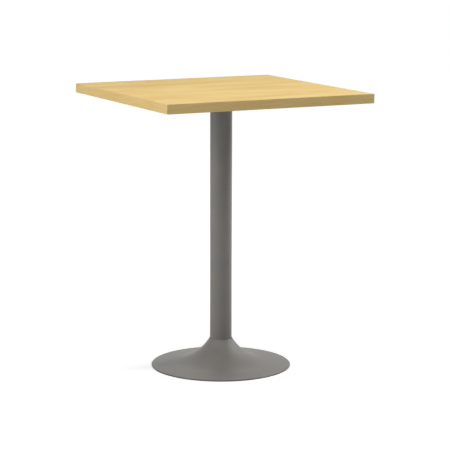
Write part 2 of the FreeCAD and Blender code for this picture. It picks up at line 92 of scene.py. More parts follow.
# The outline of a pan head from its crown to its seat, as shares of its radius and height, and
# the length of a wood screw's shank from there to its thread.
PAN_HEAD = ((0.0, 0.0), (0.42, 0.04), (0.70, 0.16), (0.90, 0.40), (0.99, 0.72), (1.0, 1.0))
PLAIN_SHANK = 6 * MM

# A cross recess's span at its bottom as a share of that at its mouth, and how far its cutter
# stands out of the head as a share of its depth.
RECESS_TAPER = 0.45
RECESS_OVERCUT = 0.2

# The scale at which a Wave node draws one band in each unit.
WAVE_PER_UNIT = 2 * math.pi / 10

# How far the background paper reaches from the table, and how far the camera sees.
GROUND_REACH = 60.0
CAMERA_REACH = 200.0

# The soft boxes are aimed at this height above the middle of the foot. Each one has its turn from
# the camera's side and its lift, in degrees, its distance from there, its width and its height.
LAMP_AIM = 0.5
SOFT_BOXES = {
    "overhead": (0, 88, 2.6, 2.4, 2.4),
    "front": (0, 50, 3.0, 1.5, 1.5),
    "left": (-75, 35, 3.0, 0.7, 0.7),
    "left_front": (-50, 25, 3.0, 1.2, 1.2),
    "left_strip": (-75, 0, 2.4, 0.6, 1.1),
    "right": (100, 35, 3.0, 1.0, 1.0),
    "right_back": (130, 25, 3.0, 0.7, 0.7),
    "right_strip": (130, 0, 2.4, 0.6, 1.1),
    "back": (-153, 20, 3.0, 1.5, 1.5),
}


def linear(hex_colour):
    """An sRGB hex colour as linear red, green and blue."""
    channels = [int(hex_colour[k:k + 2], 16) / 255 for k in (0, 2, 4)]
    return tuple(c / 12.92 if c <= 0.04045 else ((c + 0.055) / 1.055) ** 2.4 for c in channels)


def frame_reach():
    """How far the table reaches from the middle of its foot, along the floor."""
    low, high = CAD_BOUNDS
    return max(high[0], high[1], -low[0], -low[1])


# --- Settings ---


def colour_property(name, description, hex_colour):
    return bpy.props.FloatVectorProperty(
        name=name,
        description=description,
        subtype="COLOR",
        size=3,
        min=0.0,
        max=1.0,
        default=linear(hex_colour),
    )


def length_property(name, description, default):
    return bpy.props.FloatProperty(
        name=name, description=description, default=default, min=0.0, unit="LENGTH", precision=5
    )


def share_property(name, description, default):
    return bpy.props.FloatProperty(
        name=name, description=description, default=default, min=0.0, max=1.0, subtype="FACTOR"
    )


def angle_property(name, description, degrees):
    return bpy.props.FloatProperty(
        name=name, description=description, default=math.radians(degrees), subtype="ANGLE"
    )


def power_property(name, description, watts):
    return bpy.props.FloatProperty(
        name=name, description=description, default=watts, min=0.0, unit="POWER"
    )


class TableFinish(bpy.types.PropertyGroup):
    """Colours and surface sizes of the table's finishes."""

    oak_pale: colour_property("Pale oak", "Early wood, the lightest part of the decor", "F5D994")
    oak_warm: colour_property("Warm oak", "Late wood, the deeper streaks of the decor", "E4BE76")
    # Greyer, darker bands: partly the band's own print, partly painted shade of the upright sides.
    band_pale: colour_property("Pale oak band", "Early wood on the bands, a shade greyer", "EAD193")
    band_warm: colour_property("Warm oak band", "Late wood on the bands, a shade greyer", "DAB674")
    oak_pore: colour_property("Oak pores", "Short dark strokes along the grain", "BA8C49")
    oak_figure_length: length_property("Figure length", "Length of a soft streak", 0.42)
    oak_figure_width: length_property("Figure width", "Width of a soft streak", 0.085)
    oak_ring_width: length_property("Growth ring width", "Distance between two rings", 0.011)
    oak_pore_length: length_property("Pore length", "Length of a pore stroke", 0.011)
    oak_pore_width: length_property("Pore width", "Width of a pore stroke", 0.0005)
    coat_grey: colour_property("Powder coat", "Warm grey of the column and foot", "7C7974")
    coat_roughness: share_property("Powder coat roughness", "Satin, about 30 gloss units", 0.47)
    coat_peel: length_property("Orange peel", "Distance between two bumps of the coat", 0.0024)
    iron_black: colour_property("Casting paint", "Dipped black primer on cast iron", "242423")
    iron_grain: length_property("Sand grain", "Size of a sand mark in the castings", 0.0011)
    zinc: colour_property("Bright zinc", "Passivated zinc plating, slightly blue", "C6CACD")
    rubber_black: colour_property("Rubber", "Carbon-filled rubber of trim and neck ring", "262524")
    nylon_black: colour_property("Nylon", "Moulded black nylon of the feet", "1F1F1F")
    backing_white: colour_property("Backing", "Off-white balancing laminate", "DBD8D3")
    chip_pale: colour_property("Pale chips", "Spruce chips of the core", "CDAA78")
    chip_dark: colour_property("Dark chips", "Bark and glue in the core", "8A6238")


class TableFasteners(bpy.types.PropertyGroup):
    """Sizes of the threads and recesses that the fasteners show."""

    rod_pitch: length_property("Tie rod pitch", "M12 coarse thread", 1.75 * MM)
    rod_thread_length: length_property("Rod thread", "Threaded length at each end", 32 * MM)
    stud_pitch: length_property("Leveller pitch", "M8 coarse thread", 1.25 * MM)
    screw_pitch: length_property("Wood screw pitch", "Coarse chipboard thread", 2.6 * MM)
    screw_spacing: length_property("Screw spacing", "Between the two screws of a foot", 34 * MM)
    screw_shank: length_property("Screw diameter", "Outside the wood screw's thread", 5 * MM)
    screw_head: length_property("Screw head", "Diameter of the pan head", 10.5 * MM)
    screw_head_height: length_property("Head height", "Height of the pan head", 3.4 * MM)
    recess_depth: length_property("Recess depth", "Depth of the cross recess", 2.2 * MM)
    recess_span: length_property("Recess span", "Across the cross recess", 5.4 * MM)
    recess_slot: length_property("Recess slot", "Width of one slot of the cross", 1.1 * MM)


class TableStudio(bpy.types.PropertyGroup):
    """Camera, lamps and ground."""

    camera_distance: length_property("Camera distance", "From the column, along the floor", 6.637)
    camera_height: length_property("Camera height", "Above the floor", 1.689)
    camera_turn: angle_property("Camera turn", "Round the table, from the front", -26.61)
    camera_pan: angle_property("Camera pan", "Aim to the right of the column", 0.126)
    camera_tilt: angle_property("Camera tilt", "Aim below level", 9.979)
    camera_roll: angle_property("Camera roll", "About the line of sight", 0.119)
    camera_pixels: bpy.props.FloatProperty(
        name="Focal length",
        description="In pixels of the square image",
        default=1850.0,
        subtype="PIXEL",
    )
    overhead: power_property("Overhead", "Wide box above the table", 15.0)
    front: power_property("Front", "Box above the camera", 23.0)
    left: power_property("Left", "Small box on the camera's left", 10.0)
    left_front: power_property("Left front", "Box between the left one and the camera", 21.0)
    left_strip: power_property("Left strip", "Narrow box that draws the column's left side", 7.4)
    right: power_property("Right", "Box on the camera's right, the main light", 41.0)
    right_back: power_property("Right back", "Small box behind the table, on the right", 11.0)
    right_strip: power_property("Right strip", "Narrow box that draws the column's right side", 3.5)
    back: power_property("Back", "Weak box behind the table, on the left", 5.0)
    ambient: share_property("Ambient", "Strength of the room's own light", 0.02)
    glow_near: share_property("Glow near", "White added to the floor seen at the foot", 0.41)
    glow_reach: length_property("Glow reach", "Distance at which that floor is plain white", 1.9)


# --- Nodes ---


def add(tree, kind, inputs=(), **settings):
    """Adds a node with its settings, and gives its inputs their values or links.

    The inputs are a dict by socket name, or a sequence in the order of the sockets that are in
    use. Each is a value, a socket, or a node, which stands for its first output in use.
    """
    node = tree.nodes.new(kind)
    for name, value in settings.items():
        setattr(node, name, value)
    sockets = [socket for socket in node.inputs if socket.enabled]
    if isinstance(inputs, dict):
        names = [socket.name for socket in sockets]
        sockets = [sockets[names.index(name)] for name in inputs]
        inputs = inputs.values()
    for socket, value in zip(sockets, inputs):
        if isinstance(value, bpy.types.Node):
            value = next(output for output in value.outputs if output.enabled)
        if isinstance(value, bpy.types.NodeSocket):
            tree.links.new(value, socket)
        else:
            socket.default_value = value
    return node


def spaced(tree, x, y=None, z=None, turn=0.0):
    """Places in the table, in units of these lengths along X, Y and Z after a turn about Z.

    A length that isn't given is the one along X. A noise of scale 1 at these places has patches
    of about those lengths.
    """
    place = add(tree, "ShaderNodeTexCoord").outputs["Object"]
    turned = add(tree, "ShaderNodeMapping", {"Vector": place, "Rotation": (0.0, 0.0, turn)})
    scale = (1.0 / x, 1.0 / (y or x), 1.0 / (z or x))
    return add(tree, "ShaderNodeMapping", {"Vector": turned, "Scale": scale})


def new_material(name):
    """An empty material and its node tree."""
    material = bpy.data.materials.new(name)
    material.use_nodes = True
    material.node_tree.nodes.clear()
    return material, material.node_tree


def opaque(colour, strength=1.0):
    """A linear colour with its alpha, made lighter or darker by the strength."""
    return (*(strength * channel for channel in colour), 1.0)


# --- Materials ---
#
# A Map Range node's inputs are the value, the lowest and highest that it has, and what these two
# become, which is 0 and 1 where nothing is given. A Mix node's are the factor and two colours.


def oak_decor(finish, name, pale, warm, turn=0.0):
    """Melamine laminate, printed with a light oak decor and pressed against a satin plate.

    The print gives soft orange-brown streaks a few centimetres wide on a pale straw ground, with
    close growth rings and short pores along the grain. The pressed skin gives one even satin
    sheen, which the pores break a little because the plate is embossed there.
    """
    material, tree = new_material(name)
    long, wide = finish.oak_figure_length, finish.oak_figure_width
    ring, pore = finish.oak_ring_width, finish.oak_pore_width
    pale, warm, brown = opaque(pale), opaque(warm), opaque(finish.oak_pore)

    along_streaks = spaced(tree, long, wide, wide, turn)
    figure = add(
        tree,
        "ShaderNodeTexNoise",
        {"Vector": along_streaks, "Scale": 1.0, "Detail": 3.0, "Distortion": 0.4},
    )
    across_board = spaced(tree, 0.9 * long, 4 * wide, 4 * wide, turn)
    cloud = add(tree, "ShaderNodeTexNoise", {"Vector": across_board, "Scale": 1.0, "Detail": 1.0})
    along_pores = spaced(tree, finish.oak_pore_length, pore, pore, turn)
    strokes = add(tree, "ShaderNodeTexNoise", {"Vector": along_pores, "Scale": 1.0, "Detail": 1.0})
    pores = add(tree, "ShaderNodeMapRange", (strokes, 0.60, 0.72))

    # The rings run along the grain, so their coordinate is nearly still along it. The slow bend
    # moves them by up to eight ring widths, which draws the pointed arches of a board sawn flat.
    along_bend = spaced(tree, 0.6 * long, 1.3 * wide, 1.3 * wide, turn)
    bend = add(tree, "ShaderNodeTexNoise", {"Vector": along_bend, "Scale": 1.0, "Detail": 1.0})
    rings = add(
        tree,
        "ShaderNodeTexWave",
        {
            "Vector": spaced(tree, 200 * ring, ring, ring, turn),
            "Scale": WAVE_PER_UNIT,
            "Distortion": 2.5,
            "Detail": 2.0,
            "Detail Scale": 0.4,
            "Phase Offset": add(tree, "ShaderNodeMapRange", (bend, 0.0, 1.0, 0.0, 16 * math.pi)),
        },
        wave_type="BANDS",
        bands_direction="DIAGONAL",
    )
    late_wood = add(tree, "ShaderNodeMapRange", (rings.outputs["Fac"], 0.3, 1.0))
    strength = add(tree, "ShaderNodeMapRange", (figure, 0.35, 0.65, 0.12, 0.42))
    growth = add(tree, "ShaderNodeMath", (late_wood, strength), operation="MULTIPLY")

    streaks = add(tree, "ShaderNodeMapRange", (figure, 0.36, 0.72, 0.0, 0.8))
    base = add(tree, "ShaderNodeMix", (streaks, pale, warm), data_type="RGBA")
    clouding = add(tree, "ShaderNodeMapRange", (cloud, 0.35, 0.75, 0.0, 0.35))
    shade = add(tree, "ShaderNodeMix", (clouding, base, warm), data_type="RGBA")
    ringed = add(tree, "ShaderNodeMix", (growth, shade, warm), data_type="RGBA")
    pore_shade = add(tree, "ShaderNodeMapRange", (pores, 0.0, 1.0, 0.0, 0.45))
    relief = add(tree, "ShaderNodeMapRange", (pores, 0.0, 1.0, 1.0, 0.0))
    shader = add(
        tree,
        "ShaderNodeBsdfPrincipled",
        {
            "Base Color": add(tree, "ShaderNodeMix", (pore_shade, ringed, brown), data_type="RGBA"),
            "Roughness": add(tree, "ShaderNodeMapRange", (pores, 0.0, 1.0, 0.74, 0.82)),
            "IOR": 1.5,
            "Specular IOR Level": 0.2,
            "Normal": add(tree, "ShaderNodeBump", {"Height": relief, "Distance": 0.03 * MM}),
        },
    )
    add(tree, "ShaderNodeOutputMaterial", {"Surface": shader})
    return material


def warm_grey_powder_coat(finish):
    """Polyester powder coat on spun and drawn steel, baked to a warm grey satin.

    The powder flows out to a faint orange peel, which spreads each reflection into a broad soft
    band. Its tone drifts by a shade or so over a hand's width, and has fine darker specks. The
    peel is drawn about half as coarse again as the real one, so that it still shows in a render.
    """
    material, tree = new_material("warm_grey_powder_coat")
    peel, rough = finish.coat_peel, finish.coat_roughness
    deep, light = opaque(finish.coat_grey, 0.93), opaque(finish.coat_grey, 1.06)
    hand = 90 * MM
    drift = add(tree, "ShaderNodeTexNoise", {"Vector": spaced(tree, hand), "Scale": 1.0})
    speck = add(tree, "ShaderNodeTexNoise", {"Vector": spaced(tree, peel / 3), "Scale": 1.0})
    bumps = add(
        tree, "ShaderNodeTexNoise", {"Vector": spaced(tree, peel), "Scale": 1.0, "Detail": 1.0}
    )
    patches = add(tree, "ShaderNodeMapRange", (drift, 0.3, 0.7))
    tone = add(tree, "ShaderNodeMix", (patches, deep, light), data_type="RGBA")
    specks = add(tree, "ShaderNodeMapRange", (speck, 0.55, 0.8, 0.0, 0.25))
    gloss = (drift, 0.3, 0.7, rough - 0.03, rough + 0.03)
    shader = add(
        tree,
        "ShaderNodeBsdfPrincipled",
        {
            "Base Color": add(tree, "ShaderNodeMix", (specks, tone, deep), data_type="RGBA"),
            "Roughness": add(tree, "ShaderNodeMapRange", gloss),
            "IOR": 1.5,
            "Specular IOR Level": 0.35,
            "Normal": add(tree, "ShaderNodeBump", {"Height": bumps, "Distance": 0.02 * MM}),
        },
    )
    add(tree, "ShaderNodeOutputMaterial", {"Surface": shader})
    return material


def black_dipped_cast_iron(finish):
    """Grey cast iron from a sand mould, dipped in thin black primer.

    The sand leaves a close pebbled skin, the primer lies glossier on the tops than in the pits,
    and worn brown-grey metal shows through here and there.
    """
    material, tree = new_material("black_dipped_cast_iron")
    black, worn = opaque(finish.iron_black), opaque(finish.iron_black, 2.4)
    grain = spaced(tree, finish.iron_grain)
    sand = add(tree, "ShaderNodeTexNoise", {"Vector": grain, "Scale": 1.0, "Detail": 3.0})
    swell = add(tree, "ShaderNodeTexNoise", {"Vector": spaced(tree, 20 * MM), "Scale": 1.0})
    wear = add(tree, "ShaderNodeMapRange", (swell, 0.52, 0.75, 0.0, 0.5))
    shader = add(
        tree,
        "ShaderNodeBsdfPrincipled",
        {
            "Base Color": add(tree, "ShaderNodeMix", (wear, black, worn), data_type="RGBA"),
            "Roughness": add(tree, "ShaderNodeMapRange", (sand, 0.3, 0.7, 0.62, 0.48)),
            "IOR": 1.5,
            "Normal": add(tree, "ShaderNodeBump", {"Height": sand, "Distance": 0.12 * MM}),
        },
    )
    add(tree, "ShaderNodeOutputMaterial", {"Surface": shader})
    return material


def bright_zinc_plated_steel(finish):
    """Rolled steel with bright zinc plating and a clear passivation.

    It is a pale, slightly blue metal, cloudy where the plating is thicker and dulled by fine
    tumbling marks.
    """
    material, tree = new_material("bright_zinc_plated_steel")
    bright, dull = opaque(finish.zinc), opaque(finish.zinc, 0.82)
    fine = spaced(tree, 0.35 * MM)
    cloud = add(tree, "ShaderNodeTexNoise", {"Vector": spaced(tree, 6 * MM), "Scale": 1.0})
    marks = add(tree, "ShaderNodeTexNoise", {"Vector": fine, "Scale": 1.0, "Detail": 1.0})
    dulling = add(tree, "ShaderNodeMapRange", (cloud, 0.35, 0.7))
    shader = add(
        tree,
        "ShaderNodeBsdfPrincipled",
        {
            "Base Color": add(tree, "ShaderNodeMix", (dulling, bright, dull), data_type="RGBA"),
            "Metallic": 1.0,
            "Roughness": add(tree, "ShaderNodeMapRange", (cloud, 0.3, 0.7, 0.26, 0.40)),
            "Normal": add(tree, "ShaderNodeBump", {"Height": marks, "Distance": 0.008 * MM}),
        },
    )
    add(tree, "ShaderNodeOutputMaterial", {"Surface": shader})
    return material


def black_extruded_rubber(finish):
    """Extruded carbon-black rubber, a dead matt black with a grey bloom on its surface."""
    material, tree = new_material("black_extruded_rubber")
    black, greyed = opaque(finish.rubber_black), opaque(finish.rubber_black, 1.9)
    smears = spaced(tree, 9 * MM, 9 * MM, 4 * MM)
    bloom = add(tree, "ShaderNodeTexNoise", {"Vector": smears, "Scale": 1.0, "Detail": 3.0})
    pits = add(tree, "ShaderNodeTexNoise", {"Vector": spaced(tree, 0.4 * MM), "Scale": 1.0})
    blooming = add(tree, "ShaderNodeMapRange", (bloom, 0.5, 0.8, 0.0, 0.5))
    shader = add(
        tree,
        "ShaderNodeBsdfPrincipled",
        {
            "Base Color": add(tree, "ShaderNodeMix", (blooming, black, greyed), data_type="RGBA"),
            "Roughness": add(tree, "ShaderNodeMapRange", (bloom, 0.3, 0.7, 0.66, 0.78)),
            "IOR": 1.52,
            "Normal": add(tree, "ShaderNodeBump", {"Height": pits, "Distance": 0.015 * MM}),
        },
    )
    add(tree, "ShaderNodeOutputMaterial", {"Surface": shader})
    return material


def black_moulded_nylon(finish):
    """Injection-moulded black nylon with a fine spark-eroded texture, scuffed where it stands."""
    material, tree = new_material("black_moulded_nylon")
    black, scuffed = opaque(finish.nylon_black), opaque(finish.nylon_black, 2.6)
    spark = spaced(tree, 0.3 * MM)
    texture = add(tree, "ShaderNodeTexNoise", {"Vector": spark, "Scale": 1.0, "Detail": 1.0})
    scratches = spaced(tree, 5 * MM, 1.5 * MM, 1.5 * MM)
    scuff = add(tree, "ShaderNodeTexNoise", {"Vector": scratches, "Scale": 1.0, "Detail": 3.0})
    scuffing = add(tree, "ShaderNodeMapRange", (scuff, 0.58, 0.75, 0.0, 0.6))
    shader = add(
        tree,
        "ShaderNodeBsdfPrincipled",
        {
            "Base Color": add(tree, "ShaderNodeMix", (scuffing, black, scuffed), data_type="RGBA"),
            "Roughness": add(tree, "ShaderNodeMapRange", (scuff, 0.4, 0.7, 0.44, 0.58)),
            "IOR": 1.53,
            "Normal": add(tree, "ShaderNodeBump", {"Height": texture, "Distance": 0.02 * MM}),
        },
    )
    add(tree, "ShaderNodeOutputMaterial", {"Surface": shader})
    return material


def white_pearl_melamine(finish):
    """Off-white melamine backing, pressed with a fine pearl texture that kills reflections."""
    material, tree = new_material("white_pearl_melamine")
    white, shaded = opaque(finish.backing_white), opaque(finish.backing_white, 0.94)
    beads = spaced(tree, 0.9 * MM)
    pearl = add(tree, "ShaderNodeTexNoise", {"Vector": beads, "Scale": 1.0, "Detail": 1.0})
    drift = add(tree, "ShaderNodeTexNoise", {"Vector": spaced(tree, 200 * MM), "Scale": 1.0})
    patches = add(tree, "ShaderNodeMapRange", (drift, 0.35, 0.7))
    shader = add(
        tree,
        "ShaderNodeBsdfPrincipled",
        {
            "Base Color": add(tree, "ShaderNodeMix", (patches, white, shaded), data_type="RGBA"),
            "Roughness": add(tree, "ShaderNodeMapRange", (pearl, 0.3, 0.7, 0.52, 0.60)),
            "IOR": 1.5,
            "Normal": add(tree, "ShaderNodeBump", {"Height": pearl, "Distance": 0.02 * MM}),
        },
    )
    add(tree, "ShaderNodeOutputMaterial", {"Surface": shader})
    return material


def pressed_spruce_chipboard(finish):
    """Three-layer chipboard: flat spruce chips a few millimetres long, glued and pressed.

    Each chip has its own tone, and the darker ones, with more bark and glue, are a bit glossier.
    """
    material, tree = new_material("pressed_spruce_chipboard")
    pale, dark = opaque(finish.chip_pale), opaque(finish.chip_dark)
    flat = spaced(tree, 5 * MM, 4 * MM, 1.2 * MM)
    chips = add(tree, "ShaderNodeTexVoronoi", {"Vector": flat, "Scale": 1.0}, feature="F1")
    tone = add(tree, "ShaderNodeSeparateColor", {"Color": chips.outputs["Color"]})
    darkness = add(tree, "ShaderNodeMapRange", (tone, 0.3, 1.0))
    shader = add(
        tree,
        "ShaderNodeBsdfPrincipled",
        {
            "Base Color": add(tree, "ShaderNodeMix", (darkness, pale, dark), data_type="RGBA"),
            "Roughness": add(tree, "ShaderNodeMapRange", (tone, 0.0, 1.0, 0.86, 0.74)),
            "IOR": 1.5,
            "Normal": add(tree, "ShaderNodeBump", {"Height": chips, "Distance": 0.15 * MM}),
        },
    )
    add(tree, "ShaderNodeOutputMaterial", {"Surface": shader})
    return material


def shared(maker, context):
    """The material that a maker names after itself, made the first time it is asked for."""
    return bpy.data.materials.get(maker.__name__) or maker(context.scene.table_finish)


# --- Meshes ---


def dress(node, material):
    """Gives a carried-over node one material."""
    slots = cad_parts[node].data.materials
    slots.clear()
    slots.append(material)


def circle(radius, height):
    """A level round ring for loft, which takes the radius and height at an angle."""
    return lambda angle: (radius, height)


def hexagon(across_flats, chamfer_radius, height):
    """A six-sided ring for loft, with two corners on the X axis.

    Outside the chamfer's radius the nut is cut back at 30 degrees. The height is a function of
    how far it is cut back there.
    """

    def ring(angle):
        from_flat = (angle % (math.pi / 3)) - math.pi / 6
        radius = across_flats / 2 / math.cos(from_flat)
        cut_back = max(0.0, radius - chamfer_radius) * math.tan(math.radians(30))
        return radius, height(cut_back)

    return ring


def thread_ring(radius, pitch, height, fade):
    """A level ring for loft across a right-hand thread, whose depth is multiplied by the fade.

    The groove's sides are straight, and its bottom is flat over about a quarter of the pitch.
    """

    def ring(angle):
        turn = (height / pitch - angle / (2 * math.pi)) % 1.0
        groove = min(1.0, THREAD_STEEPNESS * (1.0 - abs(2.0 * turn - 1.0)))
        return radius - THREAD_DEPTH * pitch * fade * groove, height

    return ring


def threaded(radius, pitch, low, high, fade_low=0.0, fade_high=0.0):
    """Rings up a thread from low to high, which fades out over the given end lengths."""
    steps = max(2, round((high - low) / pitch * RINGS_PER_TURN))
    rings = []
    for k in range(steps + 1):
        height = low + (high - low) * k / steps
        fade = 1.0
        if fade_low:
            fade = min(fade, (height - low) / fade_low)
        if fade_high:
            fade = min(fade, (high - height) / fade_high)
        rings.append(thread_ring(radius, pitch, height, fade))
    return rings


def loft(mesh, rings, x=0.0, y=0.0, segments=48, closed=False):
    """Adds a surface through the rings to an open mesh, upright at (x, y)."""
    loops = []
    for ring in rings:
        loop = []
        for k in range(segments):
            angle = 2 * math.pi * k / segments
            radius, height = ring(angle)
            place = (x + radius * math.cos(angle), y + radius * math.sin(angle), height)
            loop.append(mesh.verts.new(place))
        loops.append(loop)
    followers = loops[1:] + loops[:1] if closed else loops[1:]
    for low, high in zip(loops, followers):
        for k in range(segments):
            after = (k + 1) % segments
            mesh.faces.new((low[k], low[after], high[after], high[k]))


def make_piece(name, mesh, material, body, node):
    """Turns an open mesh into a piece that stands for a node and moves with its body."""
    bmesh.ops.remove_doubles(mesh, verts=mesh.verts, dist=WELD_DISTANCE)
    bmesh.ops.recalc_face_normals(mesh, faces=mesh.faces)
    data = bpy.data.meshes.new(name)
    mesh.to_mesh(data)
    mesh.free()
    data.shade_smooth()
    data.set_sharp_from_angle(angle=SMOOTH_ANGLE)
    data.materials.append(material)
    piece = bpy.data.objects.new(name, data)
    bpy.context.scene.collection.objects.link(piece)
    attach(piece, body)
    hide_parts(node)
    return piece


def cut_away(piece, cutters):
    """Cuts the meshes out of a piece, and leaves nothing of them behind."""
    mesh = bmesh.new()
    for data in cutters:
        mesh.from_mesh(data)
        bpy.data.meshes.remove(data)
    joined = bpy.data.meshes.new("cutter")
    mesh.to_mesh(joined)
    mesh.free()
    cutter = bpy.data.objects.new("cutter", joined)
    bpy.context.scene.collection.objects.link(cutter)
    modifier = piece.modifiers.new("recess", "BOOLEAN")
    modifier.operation = "DIFFERENCE"
    modifier.solver = "EXACT"
    modifier.use_self = True
    modifier.object = cutter
    graph = bpy.context.evaluated_depsgraph_get()
    cut = bpy.data.meshes.new_from_object(piece.evaluated_get(graph))
    piece.modifiers.remove(modifier)
    piece.data = cut
    bpy.data.objects.remove(cutter)
    bpy.data.meshes.remove(joined)


def cross_recess(fasteners, x, y, crown):
    """Two crossed slots that taper upwards from a screw's crown, as a cutter for its head."""
    mesh = bmesh.new()
    half_span, half_slot = fasteners.recess_span / 2, fasteners.recess_slot / 2
    low = crown - RECESS_OVERCUT * fasteners.recess_depth
    high = crown + fasteners.recess_depth
    for turn in (0.0, math.pi / 2):
        # The second slot is a hair wider and higher, so that no two faces of the cutter coincide.
        wider, higher = 0.004 * MM * turn, 0.01 * MM * turn
        corners = []
        for height, taper in ((low, 1.0), (high, RECESS_TAPER)):
            for side_x, side_y in ((-1, -1), (1, -1), (1, 1), (-1, 1)):
                across = (half_slot + wider) * side_y * (0.5 + 0.5 * taper)
                along = half_span * side_x * taper
                spot = Matrix.Rotation(turn, 3, "Z") @ Vector((along, across, 0.0))
                corners.append(mesh.verts.new((x + spot.x, y + spot.y, height + higher)))
        bottom, top = corners[:4], corners[4:]
        mesh.faces.new(bottom[::-1])
        mesh.faces.new(top)
        for k in range(4):
            after = (k + 1) % 4
            mesh.faces.new((bottom[k], bottom[after], top[after], top[k]))
    data = bpy.data.meshes.new("cross_recess")
    mesh.to_mesh(data)
    mesh.free()
    return data


def threaded_nut(mesh, low, high, across_flats, bore, pitch):
    """Adds a nut with chamfered corners and a thread inside to an open mesh."""
    inner, chamfer = bore / 2, NUT_CHAMFER * across_flats / 2
    thread = threaded(inner, pitch, low + pitch, high - pitch, fade_low=pitch, fade_high=pitch)
    rings = [circle(inner, low), *thread, circle(inner, high), circle(chamfer, high)]
    rings.append(hexagon(across_flats, chamfer, lambda cut_back: high - cut_back))
    rings.append(hexagon(across_flats, chamfer, lambda cut_back: low + cut_back))
    rings.append(circle(chamfer, low))
    loft(mesh, rings, segments=72, closed=True)


# --- Operators ---


class TABLE_OT_worktop(bpy.types.Operator):
    """Finish the board: oak laminate on top, white backing below, chipboard between"""

    bl_idname = "table.worktop"
    bl_label = "Worktop"

    def execute(self, context):
        finish = context.scene.table_finish
        decor = oak_decor(finish, "light_oak_laminate", finish.oak_pale, finish.oak_warm)
        dress("worktop_laminate", decor)
        dress("backing_laminate", shared(white_pearl_melamine, context))
        dress("core_board", shared(pressed_spruce_chipboard, context))
        return {"FINISHED"}


class TABLE_OT_edge_bands(bpy.types.Operator):
    """Finish the four edge bands, with the grain along each one's length"""

    bl_idname = "table.edge_bands"
    bl_label = "Edge bands"

    def execute(self, context):
        finish = context.scene.table_finish
        # The bands' greyer colours are partly their own print, partly painted shade of the upright
        # sides.
        colours = (finish.band_pale, finish.band_warm)
        along_x = oak_decor(finish, "light_oak_edge_band_along_x", *colours)
        along_y = oak_decor(finish, "light_oak_edge_band_along_y", *colours, turn=math.pi / 2)
        for side in ("front", "back"):
            dress("edge_band_" + side, along_x)
        for side in ("left", "right"):
            dress("edge_band_" + side, along_y)
        return {"FINISHED"}


class TABLE_OT_column(bpy.types.Operator):
    """Finish the column in powder coat"""

    bl_idname = "table.column"
    bl_label = "Column"

    def execute(self, context):
        dress("column_tube", shared(warm_grey_powder_coat, context))
        return {"FINISHED"}


class TABLE_OT_trumpet_foot(bpy.types.Operator):
    """Finish the spun cover, its rim trim and the rubber ring in its neck"""

    bl_idname = "table.trumpet_foot"
    bl_label = "Trumpet foot"

    def execute(self, context):
        dress("trumpet_cover", shared(warm_grey_powder_coat, context))
        for node in ("rim_trim", "neck_ring"):
            dress(node, shared(black_extruded_rubber, context))
        return {"FINISHED"}


class TABLE_OT_castings(bpy.types.Operator):
    """Finish the spider under the top and the ballast in the foot"""

    bl_idname = "table.castings"
    bl_label = "Castings"

    def execute(self, context):
        for node in ("top_spider", "ballast_casting"):
            dress(node, shared(black_dipped_cast_iron, context))
        return {"FINISHED"}


class TABLE_OT_spider_screws(bpy.types.Operator):
    """Make the eight pan-headed wood screws with a cross recess and a coarse thread"""

    bl_idname = "table.spider_screws"
    bl_label = "Spider screws"

    def execute(self, context):
        fasteners = context.scene.table_fasteners
        low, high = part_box("spider_screws")
        head, shank = fasteners.screw_head / 2, fasteners.screw_shank / 2
        crown, seat, pitch = low.z, low.z + fasteners.screw_head_height, fasteners.screw_pitch
        profile = [(r * head, crown + h * fasteners.screw_head_height) for r, h in PAN_HEAD]
        rings = [circle(radius, height) for radius, height in profile]
        rings.append(circle(shank, seat))
        thread_start = seat + PLAIN_SHANK
        rings += threaded(shank, pitch, thread_start, high.z - pitch, fade_low=pitch)
        rings.append(circle(0.0, high.z))

        # The outermost head touches the node's box, which gives the reach along the diagonals.
        reach = (high.x - head) * math.sqrt(2) - fasteners.screw_spacing / 2
        mesh = bmesh.new()
        cutters = []
        for arm in range(4):
            angle = math.radians(45 + 90 * arm)
            for side in (-1, 1):
                across = side * fasteners.screw_spacing / 2
                x = reach * math.cos(angle) - across * math.sin(angle)
                y = reach * math.sin(angle) + across * math.cos(angle)
                loft(mesh, rings, x, y, segments=32)
                cutters.append(cross_recess(fasteners, x, y, crown))
        zinc = shared(bright_zinc_plated_steel, context)
        screws = make_piece("wood_screws", mesh, zinc, "root", "spider_screws")
        cut_away(screws, cutters)
        return {"FINISHED"}


class TABLE_OT_tie_rod(bpy.types.Operator):
    """Make the tie rod with threaded ends and its two nuts, and finish the washers"""

    bl_idname = "table.tie_rod"
    bl_label = "Tie rod"

    def execute(self, context):
        fasteners = context.scene.table_fasteners
        zinc = shared(bright_zinc_plated_steel, context)
        for node in ("upper_tie_washer", "lower_tie_washer", "lower_spring_washer"):
            dress(node, zinc)
        low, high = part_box("tie_rod")
        radius, pitch = (high.x - low.x) / 2, fasteners.rod_pitch
        core, reach = radius - THREAD_DEPTH * pitch, fasteners.rod_thread_length
        mesh = bmesh.new()
        rings = [circle(0.0, low.z), circle(core, low.z)]
        rings += threaded(radius, pitch, low.z + pitch / 2, low.z + reach, fade_high=2 * pitch)
        rings += threaded(radius, pitch, high.z - reach, high.z - pitch / 2, fade_low=2 * pitch)
        rings += [circle(core, high.z), circle(0.0, high.z)]
        loft(mesh, rings)
        make_piece("threaded_tie_rod", mesh, zinc, "root", "tie_rod")
        for node in ("upper_tie_nut", "lower_tie_nut"):
            low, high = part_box(node)
            mesh = bmesh.new()
            threaded_nut(mesh, low.z, high.z, high.y - low.y, 2 * radius, pitch)
            make_piece("chamfered_" + node, mesh, zinc, "root", node)
        return {"FINISHED"}


